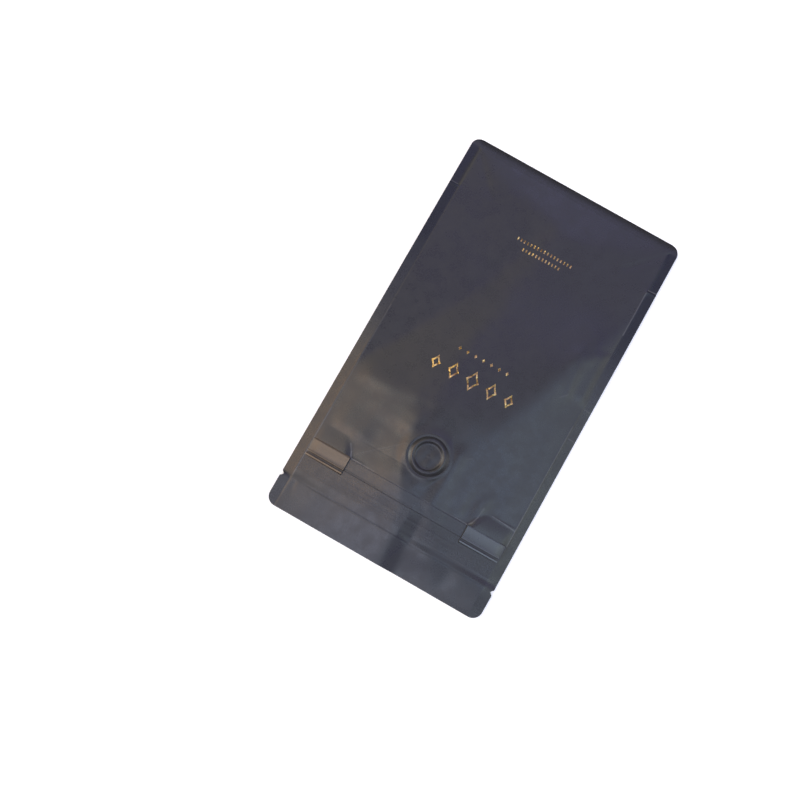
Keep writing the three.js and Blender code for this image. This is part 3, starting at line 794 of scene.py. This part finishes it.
def strip_material():
    """The pressed strip: a net pattern, glossier at its two end blocks, whose pale colour is painted light."""
    mat, nt, bsdf = new_material("pressed_strip")
    tc = nt.nodes.new("ShaderNodeTexCoord")
    pos = tc.outputs["Object"]
    sep = nt.nodes.new("ShaderNodeSeparateXYZ")
    nt.links.new(pos, sep.inputs[0])
    X, Y = sep.outputs[0], sep.outputs[1]
    n = node(nt, "ShaderNodeTexNoise", in_Scale=300.0, in_Detail=3.0)
    nt.links.new(pos, n.inputs["Vector"])
    left = map_range(nt, X, -0.0384, -0.0380, 1.0, 0.0)
    right = map_range(nt, X, 0.0390, 0.0394, 0.0, 1.0)
    ends = math_node(nt, "MAXIMUM", left, right)
    # painted highlight: paler towards the lower edge of each block, and along its two beads
    painted_light_and_mottle = map_range(nt, Y, 0.0800, 0.0880, 1.0, 0.55)
    painted_light_and_mottle = math_node(nt, "MULTIPLY", painted_light_and_mottle, ends)

    def painted_line(at, half, strength):
        d = math_node(nt, "ABSOLUTE", math_node(nt, "SUBTRACT", Y, at))
        return math_node(nt, "MULTIPLY", map_range(nt, d, half * 0.4, half * 1.5, strength, 0.0), ends)

    painted_light_and_mottle = math_node(nt, "MAXIMUM", painted_light_and_mottle, painted_line(0.09005, 0.00050, 2.1))
    painted_light_and_mottle = math_node(nt, "MAXIMUM", painted_light_and_mottle, painted_line(0.08765, 0.00028, 1.5))
    # painted shade: dark in the groove between them
    painted_light_and_mottle = math_node(nt, "MULTIPLY", painted_light_and_mottle, math_node(nt, "SUBTRACT", 1.0, painted_line(0.08890, 0.00040, 1.0)))
    painted_light_and_mottle = math_node(nt, "ADD", painted_light_and_mottle, map_range(nt, n.outputs["Fac"], 0.3, 0.7, -0.06, 0.06))
    # painted light: the end blocks' pale colour is cool on the left block and warm on the right, for the cool and
    # warm light falling on each
    ramp = nt.nodes.new("ShaderNodeValToRGB")
    ramp.color_ramp.elements[0].position = 0.0
    ramp.color_ramp.elements[1].position = 1.0
    ramp.color_ramp.elements[0].color = (0.027, 0.027, 0.0275, 1)
    ramp.color_ramp.elements[1].color = (0.150, 0.178, 0.196, 1)
    painted_light_and_mottle = math_node(nt, "MULTIPLY", painted_light_and_mottle, 0.34)
    nt.links.new(painted_light_and_mottle, ramp.inputs[0])
    warm_light_tint = nt.nodes.new("ShaderNodeValToRGB")
    warm_light_tint.color_ramp.elements[0].color = (0.027, 0.0265, 0.026, 1)
    warm_light_tint.color_ramp.elements[1].color = (0.225, 0.162, 0.100, 1)
    nt.links.new(painted_light_and_mottle, warm_light_tint.inputs[0])
    mix = nt.nodes.new("ShaderNodeMix")
    mix.data_type = "RGBA"
    nt.links.new(right, mix.inputs["Factor"])
    nt.links.new(ramp.outputs[0], mix.inputs["A"])
    nt.links.new(warm_light_tint.outputs[0], mix.inputs["B"])
    nt.links.new(mix.outputs["Result"], bsdf.inputs["Base Color"])
    r = map_range(nt, n.outputs["Fac"], 0.3, 0.7, 0.27, 0.33)
    nt.links.new(r, bsdf.inputs["Roughness"])
    bsdf.inputs["IOR"].default_value = 1.5
    net = None
    for op in ("ADD", "SUBTRACT"):
        w = math_node(nt, "MULTIPLY", math_node(nt, op, X, Y), 2 * math.pi / 0.0014)
        w = math_node(nt, "SINE", w)
        net = w if net is None else math_node(nt, "MULTIPLY", net, w)
    net = math_node(nt, "MULTIPLY", net, map_range(nt, ends, 0.0, 1.0, 0.000014, 0.000006))
    h = math_node(nt, "MULTIPLY_ADD", n.outputs["Fac"], 0.000010, net)
    bmp = node(nt, "ShaderNodeBump", in_Strength=1.0, in_Distance=1.0)
    nt.links.new(h, bmp.inputs["Height"])
    nt.links.new(bmp.outputs[0], bsdf.inputs["Normal"])
    return mat


def foil_material():
    mat, nt, bsdf = new_material("gold_foil")
    tc = nt.nodes.new("ShaderNodeTexCoord")
    n = node(nt, "ShaderNodeTexNoise", in_Scale=420.0, in_Detail=3.0)
    nt.links.new(tc.outputs["Object"], n.inputs["Vector"])
    # painted reflection: the gold's colour swings at random from dark brown to pale gold, standing in for its
    # glints and dark reflections
    ramp = nt.nodes.new("ShaderNodeValToRGB")
    ramp.color_ramp.elements[0].position = 0.35
    ramp.color_ramp.elements[1].position = 0.7
    ramp.color_ramp.elements[0].color = (0.26, 0.145, 0.035, 1)
    ramp.color_ramp.elements[1].color = (0.90, 0.61, 0.23, 1)
    nt.links.new(n.outputs["Fac"], ramp.inputs[0])
    nt.links.new(ramp.outputs[0], bsdf.inputs["Base Color"])
    bsdf.inputs["Metallic"].default_value = 1.0
    r = map_range(nt, n.outputs["Fac"], 0.3, 0.7, 0.12, 0.22)
    nt.links.new(r, bsdf.inputs["Roughness"])
    # the foil ripples a little over the film, which gives it its glints
    wave = node(nt, "ShaderNodeTexNoise", in_Scale=420.0, in_Detail=1.0, in_Roughness=0.5)
    nt.links.new(tc.outputs["Object"], wave.inputs["Vector"])
    bmp = node(nt, "ShaderNodeBump", in_Strength=1.0, in_Distance=1.0)
    nt.links.new(math_node(nt, "MULTIPLY", wave.outputs["Fac"], 0.00048), bmp.inputs["Height"])
    nt.links.new(bmp.outputs[0], bsdf.inputs["Normal"])
    return mat


# ---- the scene ---------------------------------------------------------------
film = film_material()
strip = strip_material()
gold = foil_material()

pouch = make_pouch()
valve = make_valve()
zipper = make_zip()
prints = make_foil()

for ob, cad, mat in ((pouch, "pouch", film), (valve, "valve", film), (zipper, "zipper", strip)):
    ob.data.materials.append(mat)
    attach(ob, "root")
    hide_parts(cad)
for ob in prints:
    ob.data.materials.append(gold)
    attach(ob, "root")

# floor
me = bpy.data.meshes.new("floor")
s = 3.0
me.from_pydata([(-s, -s, 0), (s, -s, 0), (s, s, 0), (-s, s, 0)], [], [(0, 1, 2, 3)])
floor = bpy.data.objects.new("floor", me)
bpy.context.scene.collection.objects.link(floor)
mat, nt, bsdf = new_material("pale_floor")
bsdf.inputs["Base Color"].default_value = (0.88, 0.88, 0.88, 1)
bsdf.inputs["Emission Color"].default_value = (1.0, 1.0, 0.97, 1)
bsdf.inputs["Emission Strength"].default_value = 0.39
bsdf.inputs["Roughness"].default_value = 0.9
bsdf.inputs["Specular IOR Level"].default_value = 0.1
me.materials.append(mat)
floor.location.z = -0.00002

# camera, from the outline's corners in the photograph
cam_data = bpy.data.cameras.new("camera")
cam = bpy.data.objects.new("camera", cam_data)
bpy.context.scene.collection.objects.link(cam)
cam_data.sensor_width = 36.0
cam_data.lens = 850.0 / 800.0 * 36.0
cam_data.clip_start, cam_data.clip_end = 0.01, 20.0
cam.location = (0.017704, 0.077742, 0.495882)
cam.rotation_euler = Euler([math.radians(v) for v in (4.9415, -1.0301, -150.3849)], "XYZ")
bpy.context.scene.camera = cam


# light: a soft studio sky of round patches. Each is seen from the bag at an angle
# off the vertical, towards a bearing (0 = +X, 90 = +Y), with a width and a colour.
SKY = [
    (18, 0, 9, (2.10, 2.25, 2.00)),
    (24, 24, 5, (6.50, 3.60, 1.30)),
    (15.5, 24, 5.5, (1.05, 1.10, 1.35)),
    (18, 45, 9, (1.95, 1.85, 2.05)),
    (18, 90, 9, (3.64, 3.84, 4.96)),
    (21, 112, 7, (0.10, 0.45, 0.50)),
    (18, 180, 9, (1.60, 2.10, 3.35)),
    (18, 225, 9, (0.35, 0.35, 0.15)),
    (18, 270, 9, (0.50, 0.45, 0.95)),
    (18, 315, 9, (0.00, 0.00, 0.30)),
    (36, 0, 11, (4.40, 2.85, 1.85)),
    (36, 45, 11, (0.30, 0.20, 0.40)),
    (36, 90, 11, (0.60, 0.60, 1.00)),
    (36, 135, 11, (0.45, 0.45, 1.00)),
    (36, 180, 11, (2.50, 3.05, 3.00)),
    (36, 225, 11, (0.50, 0.45, 1.50)),
    (36, 270, 11, (1.45, 1.50, 2.70)),
    (36, 315, 11, (1.50, 1.48, 1.15)),
    (60, 20, 16, (6.0, 6.0, 5.6)),
    (60, 200, 16, (1.8, 1.8, 1.9)),
]
SKY_BASE = (0.09, 0.09, 0.11)

world = bpy.data.worlds.new("studio")
bpy.context.scene.world = world
world.use_nodes = True
nt = world.node_tree
nt.nodes.clear()
out = nt.nodes.new("ShaderNodeOutputWorld")
bg = nt.nodes.new("ShaderNodeBackground")
nt.links.new(bg.outputs[0], out.inputs[0])
tc = nt.nodes.new("ShaderNodeTexCoord")
total = nt.nodes.new("ShaderNodeCombineXYZ")
for i, v in enumerate(SKY_BASE):
    total.inputs[i].default_value = v
total = total.outputs[0]
for off, bearing, width, colour in SKY:
    t, p = math.radians(off), math.radians(bearing)
    dot = nt.nodes.new("ShaderNodeVectorMath")
    dot.operation = "DOT_PRODUCT"
    nt.links.new(tc.outputs["Generated"], dot.inputs[0])
    dot.inputs[1].default_value = (math.sin(t) * math.cos(p), math.sin(t) * math.sin(p), math.cos(t))
    k = 1 / (1 - math.cos(math.radians(width)))
    e = math_node(nt, "MULTIPLY_ADD", dot.outputs["Value"], k, -k)
    e = math_node(nt, "EXPONENT", e)
    add = nt.nodes.new("ShaderNodeVectorMath")
    add.operation = "MULTIPLY_ADD"
    add.inputs[0].default_value = colour
    nt.links.new(e, add.inputs[1])
    nt.links.new(total, add.inputs[2])
    total = add.outputs[0]
nt.links.new(total, bg.inputs["Color"])
bg.inputs["Strength"].default_value = 1.0

view = bpy.context.scene.view_settings
view.view_transform = "Standard"
view.look = "None"
